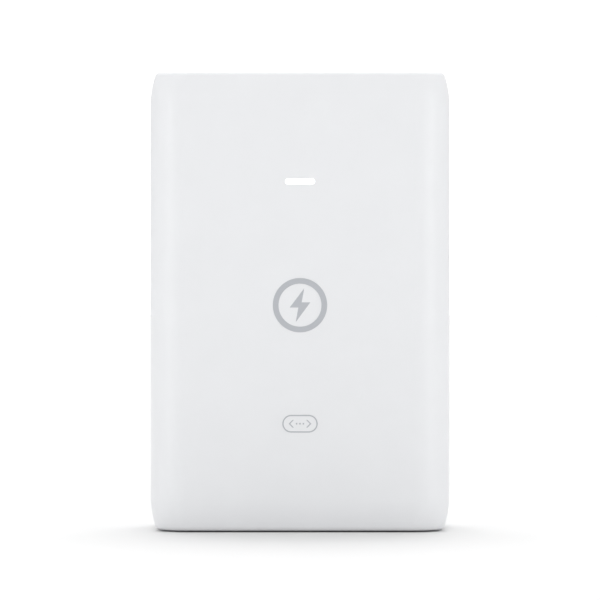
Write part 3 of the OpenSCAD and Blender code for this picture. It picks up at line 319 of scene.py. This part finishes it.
def insulation_film():
    """Brown fish paper: pressed fibres with a dull calendered face."""
    finish = Finish("insulation_film", (0.40, 0.26, 0.13), 0.6)
    fibres = finish.noise(0.5 * MM, 5.0, stretch=(1.0, 1.0, 0.35))
    finish.mottle(fibres, (0.34, 0.21, 0.10), (0.47, 0.32, 0.17))
    finish.bump(fibres, 15 * MICRON)
    return finish


def yellow_tape():
    """Polyester tape over the winding: glossy film whose wire ridges show through."""
    finish = Finish("yellow_tape", (0.78, 0.62, 0.08), 0.25)
    ridges = finish.bands(0.8 * MM, "Z")
    finish.mottle(finish.noise(3 * MM, 2.0), (0.68, 0.50, 0.05), (0.82, 0.67, 0.12))
    finish.bump(ridges, 40 * MICRON)
    finish.set("Coat Weight", 0.5)
    finish.set("Coat Roughness", 0.1)
    return finish


def board_laminate():
    """Green solder mask: paler where tracks run under it, with the glass weave just showing."""
    finish = Finish("board_laminate", (0.02, 0.13, 0.06), 0.32)
    tracks = finish.remap(finish.bands(3.2 * MM, "X", 9.0), 0.0, 1.0, 0.62, 0.66)
    mask = finish.mix(tracks, (0.012, 0.085, 0.040), (0.030, 0.170, 0.080))
    weave = finish.math("MULTIPLY", finish.bands(0.5 * MM, "X"), finish.bands(0.5 * MM, "Z"))
    finish.colour(finish.mix(weave, mask, (0.035, 0.155, 0.075)))
    finish.rough(weave, 0.26, 0.38)
    finish.bump(tracks, 25 * MICRON)
    finish.bump(weave, 6 * MICRON)
    finish.set("Coat Weight", 0.4)
    finish.set("Coat Roughness", 0.15)
    return finish


def chip_ceramic():
    finish = Finish("chip_ceramic", (0.36, 0.27, 0.19), 0.45)
    grain = finish.noise(0.08 * MM, 3.0)
    finish.mottle(grain, (0.30, 0.22, 0.15), (0.43, 0.33, 0.24))
    finish.bump(grain, 5 * MICRON)
    return finish


def ferrite():
    """Sintered ferrite: dark, dense and matt, with pores and ground faces."""
    finish = Finish("ferrite", (0.050, 0.048, 0.047), 0.55, 0.2)
    pores = finish.cells(0.35 * MM)
    finish.mottle(pores, (0.030, 0.029, 0.028), (0.070, 0.067, 0.065), 0.0, 0.8)
    finish.rough(finish.noise(1.5 * MM, 3.0), 0.45, 0.68)
    finish.bump(pores, 12 * MICRON)
    return finish


# ---------------------------------------------------------------- metals

def metal(name, colour, roughness, streak, grain=0.2 * MM, depth=3 * MICRON):
    """Drawn or rolled metal: streaks along its length, uneven gloss and faint dull patches."""
    finish = Finish(name, colour, roughness, 1.0)
    lines = finish.noise(grain, 3.0, stretch=streak)
    patches = finish.noise(2.2 * MM, 3.0)
    finish.mottle(patches, shade(colour, 0.86), colour)
    finish.rough(lines, roughness - 0.07, roughness + 0.09)
    finish.bump(lines, depth)
    return finish


def screw_steel():
    """Zinc plate: bright grey with a faint blue passivation."""
    return metal("screw_steel", (0.66, 0.67, 0.70), 0.32, (1.0, 0.3, 1.0), depth=4 * MICRON)


def plated_brass():
    """Nickel plate on brass, with the yellow just showing through in patches."""
    finish = metal("plated_brass", (0.74, 0.71, 0.65), 0.24, (1.0, 1.0, 0.06))
    finish.mottle(finish.noise(1.4 * MM, 3.0), (0.70, 0.64, 0.52), (0.77, 0.75, 0.71))
    return finish


def shield_tinplate():
    """Tin-plated sheet: soft sheen, spangle from the hot dip and rolling lines."""
    finish = metal("shield_tinplate", (0.72, 0.73, 0.74), 0.27, (0.06, 1.0, 1.0))
    spangle = finish.cells(1.1 * MM)
    finish.mottle(spangle, (0.64, 0.65, 0.66), (0.78, 0.79, 0.80), 0.0, 0.8)
    return finish


def gold_contact():
    """Flash gold over nickel on spring wire."""
    return metal(
        "gold_contact", (0.86, 0.64, 0.27), 0.22, (1.0, 1.0, 0.05),
        grain=0.08 * MM, depth=1.5 * MICRON)


def sink_aluminium():
    return metal("sink_aluminium", (0.70, 0.71, 0.72), 0.36, (1.0, 0.05, 1.0), depth=6 * MICRON)


def polymer_can():
    return metal("polymer_can", (0.76, 0.77, 0.78), 0.28, (1.0, 0.05, 1.0), grain=0.15 * MM)


def copper_wire():
    """Enamelled copper: warm and glossy under a clear varnish, darker in random patches."""
    finish = metal("copper_wire", (0.62, 0.24, 0.10), 0.26, (1.0, 1.0, 0.2))
    finish.mottle(finish.noise(0.9 * MM, 3.0), (0.44, 0.14, 0.05), (0.68, 0.28, 0.12))
    finish.set("Coat Weight", 0.7)
    finish.set("Coat Roughness", 0.12)
    return finish


def can_sleeve():
    """Shrink sleeve on the bulk capacitor: dark blue film, drawn tight over the can's shoulder."""
    finish = Finish("can_sleeve", (0.015, 0.03, 0.10), 0.26)
    pull = finish.noise(1.8 * MM, 3.0, stretch=(1.0, 0.2, 1.0))
    finish.mottle(pull, (0.010, 0.022, 0.075), (0.022, 0.042, 0.13))
    finish.rough(pull, 0.20, 0.34)
    finish.bump(pull, 10 * MICRON)
    finish.set("Coat Weight", 0.5)
    finish.set("Coat Roughness", 0.1)
    return finish


CASE_COLOUR = (0.760, 0.768, 0.783)
FLOOR_COLOUR = (0.74, 0.74, 0.74)
INK_COLOUR = (0.440, 0.455, 0.485)
FINISHES = (                         # one for each material slot of the record
    case_plastic, lens_plastic, grey_ink, label_film, screw_steel, board_laminate,
    insulation_film, black_nylon, plated_brass, fuse_plastic, blue_epoxy, dark_epoxy,
    yellow_box, ferrite, copper_wire, black_epoxy, can_sleeve, polymer_can, sink_aluminium,
    yellow_tape, white_moulding, ivory_moulding, led_resin, red_insulation, black_insulation,
    shield_tinplate, gold_contact, chip_ceramic,
)
materials = {make.__name__: make().material for make in FINISHES}


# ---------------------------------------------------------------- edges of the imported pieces

SMOOTH_ANGLE = math.radians(28)
EDGE_RADIUS = {                      # radius that a piece's sharp edges get
    "front_cover": 0.14 * MM, "rear_cover": 0.14 * MM, "wall_bracket": 0.2 * MM,
    "inlet_housing": 0.2 * MM, "inlet_blades": 0.15 * MM, "case_screws": 0.08 * MM,
    "board_screws": 0.08 * MM, "heatsink_screws": 0.08 * MM,
    "poe_jack_housing": 0.08 * MM, "lan_jack_housing": 0.08 * MM,
    "poe_jack_shield": 0.05 * MM, "lan_jack_shield": 0.05 * MM,
    "light_pipe": 0.06 * MM, "x_capacitor": 0.3 * MM, "bridge_rectifier": 0.15 * MM,
    "primary_heatsink": 0.1 * MM, "secondary_heatsink": 0.1 * MM,
    "primary_switch": 0.1 * MM, "output_rectifier": 0.1 * MM,
    "transformer_core_lower": 0.25 * MM, "transformer_core_upper": 0.25 * MM,
    "transformer_bobbin": 0.1 * MM, "choke_base": 0.15 * MM, "choke_core": 0.4 * MM,
    "output_choke_core": 0.3 * MM, "indicator_header": 0.1 * MM, "indicator_plug": 0.15 * MM,
    "poe_controller": 0.05 * MM, "pwm_controller": 0.05 * MM, "lan_magnetics": 0.08 * MM,
    "optocoupler": 0.08 * MM, "chip_resistors": 0.06 * MM, "chip_capacitors": 0.08 * MM,
    "output_capacitors": 0.06 * MM, "bulk_capacitor": 0.06 * MM, "status_led": 0.05 * MM,
}


def soften(obj, radius):
    """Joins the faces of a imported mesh, rounds its sharp edges and smooths over the others."""
    mesh = obj.data
    if "custom_normal" in mesh.attributes:
        mesh.attributes.remove(mesh.attributes["custom_normal"])
    mesh.shade_smooth()
    weld = obj.modifiers.new("join_faces", "WELD")
    weld.merge_threshold = MICRON
    bevel = obj.modifiers.new("round_edges", "BEVEL")
    bevel.width = radius
    bevel.segments = 2
    bevel.limit_method = "ANGLE"
    bevel.angle_limit = SMOOTH_ANGLE
    bevel.use_clamp_overlap = True
    bevel.harden_normals = True
    bevel.miter_outer = "MITER_ARC"


for name, obj in nodes.items():
    for slot in obj.material_slots:
        slot.material = materials[slot.material.name]
    if name in EDGE_RADIUS:
        soften(obj, EDGE_RADIUS[name])


# ---------------------------------------------------------------- floor, lights and camera

RING_LEVELS = (                      # light from in front of the object (0) to behind it (1)
    (0.0, 0.8), (0.4, 0.9), (0.5, 1.0), (0.75, 0.6), (0.96, 0.6), (0.985, 1.1),
)
OVERHEAD_LEVELS = (1.0, 1.2)         # light at the horizon and overhead
OVERHEAD_HEIGHTS = (0.5, 0.9)        # the sine of the angle over which one turns into the other
SOFTBOX_DIRECTION = (0.0, 0.5, 0.866)
SOFTBOX_LEVEL = 5.2
SOFTBOX_EDGE = (0.87, 0.96)          # the cosine of the angle from its middle, outer and inner edge
FILL_PLACE = (1.6, -1.0, 0.25)       # the right-hand light; the other mirrors it
FILL_SIZE = (0.8, 0.5)
FILL_POWER = 5.2
FLOOR_HALF = 4.0
CAMERA_LENS = 266.83
CAMERA_DISTANCE = 0.945              # from the front face
CAMERA_HEIGHT = 0.057
AIM_HEIGHT = 0.0495


def stage_floor():
    """A wide pale floor that fades into the background, with a soft sheen."""
    mesh = bpy.data.meshes.new("stage_floor")
    corners = [(FLOOR_HALF * x, FLOOR_HALF * y, 0) for x, y in ((-1, -1), (1, -1), (1, 1), (-1, 1))]
    mesh.from_pydata(corners, [], [(0, 1, 2, 3)])
    floor = bpy.data.objects.new("stage_floor", mesh)
    bpy.context.scene.collection.objects.link(floor)
    finish = Finish("stage_floor", FLOOR_COLOUR, 0.6)
    finish.set("Specular IOR Level", 0.05)
    finish.mottle(finish.noise(0.4, 1.0), shade(FLOOR_COLOUR, 0.995), FLOOR_COLOUR)
    floor.data.materials.append(finish.material)


def studio_world():
    """Soft light from all round, brighter overhead and behind, with a softbox high behind."""
    world = bpy.data.worlds.new("studio")
    world.use_nodes = True
    tree = world.node_tree

    def add(kind, **settings):
        node = tree.nodes.new(kind)
        for key, value in settings.items():
            setattr(node, key, value)
        return node

    def remap(value, start, end, low, high):
        node = add("ShaderNodeMapRange", interpolation_type="SMOOTHSTEP")
        for socket, number in zip(MAP_SOCKETS, (start, end, low, high)):
            node.inputs[socket].default_value = number
        tree.links.new(value, node.inputs["Value"])
        return node.outputs["Result"]

    place = add("ShaderNodeTexCoord").outputs["Generated"]
    split = add("ShaderNodeSeparateXYZ")
    tree.links.new(place, split.inputs["Vector"])
    depth = add("ShaderNodeMapRange")
    depth.inputs["From Min"].default_value = -1.0
    tree.links.new(split.outputs["Y"], depth.inputs["Value"])
    ring = add("ShaderNodeValToRGB")
    stops = ring.color_ramp.elements
    stops.remove(stops[-1])
    for position, level in RING_LEVELS:
        stop = stops.new(position) if position else stops[0]
        stop.color = (level, level, level, 1.0)
    tree.links.new(depth.outputs["Result"], ring.inputs["Fac"])
    towards = add("ShaderNodeVectorMath", operation="DOT_PRODUCT")
    towards.inputs[1].default_value = SOFTBOX_DIRECTION
    tree.links.new(place, towards.inputs[0])
    strength = add("ShaderNodeMath", operation="ADD")
    sky = remap(split.outputs["Z"], *OVERHEAD_HEIGHTS, *OVERHEAD_LEVELS)
    softbox = remap(towards.outputs["Value"], *SOFTBOX_EDGE, 0.0, SOFTBOX_LEVEL)
    tree.links.new(sky, strength.inputs[0])
    tree.links.new(softbox, strength.inputs[1])
    background = tree.nodes["Background"]
    tree.links.new(ring.outputs["Color"], background.inputs["Color"])
    tree.links.new(strength.outputs["Value"], background.inputs["Strength"])
    bpy.context.scene.world = world


def soft_light(name, place, aim):
    data = bpy.data.lights.new(name, "AREA")
    data.shape = "RECTANGLE"
    data.size, data.size_y = FILL_SIZE
    data.energy = FILL_POWER
    light = bpy.data.objects.new(name, data)
    light.location = place
    light.rotation_euler = (Vector(aim) - Vector(place)).to_track_quat("-Z", "Y").to_euler()
    bpy.context.scene.collection.objects.link(light)


def studio_camera(front_y):
    """A long lens straight in front, a little above the middle, as the object was seen."""
    data = bpy.data.cameras.new("camera")
    data.lens = CAMERA_LENS
    data.sensor_width = 36.0
    data.clip_end = 20.0
    camera = bpy.data.objects.new("camera", data)
    camera.location = (0.0, front_y - CAMERA_DISTANCE, CAMERA_HEIGHT)
    aim = Vector((0.0, front_y, AIM_HEIGHT))
    camera.rotation_euler = (aim - camera.location).to_track_quat("-Z", "Y").to_euler()
    bpy.context.scene.collection.objects.link(camera)
    bpy.context.scene.camera = camera


low, high = cad_box
centre = (Vector(low) + Vector(high)) / 2
stage_floor()
studio_world()
for side in (-1, 1):
    soft_light("fill_light", (side * FILL_PLACE[0], *FILL_PLACE[1:]), centre)
studio_camera(low[1])
bpy.context.scene.view_settings.view_transform = "Standard"
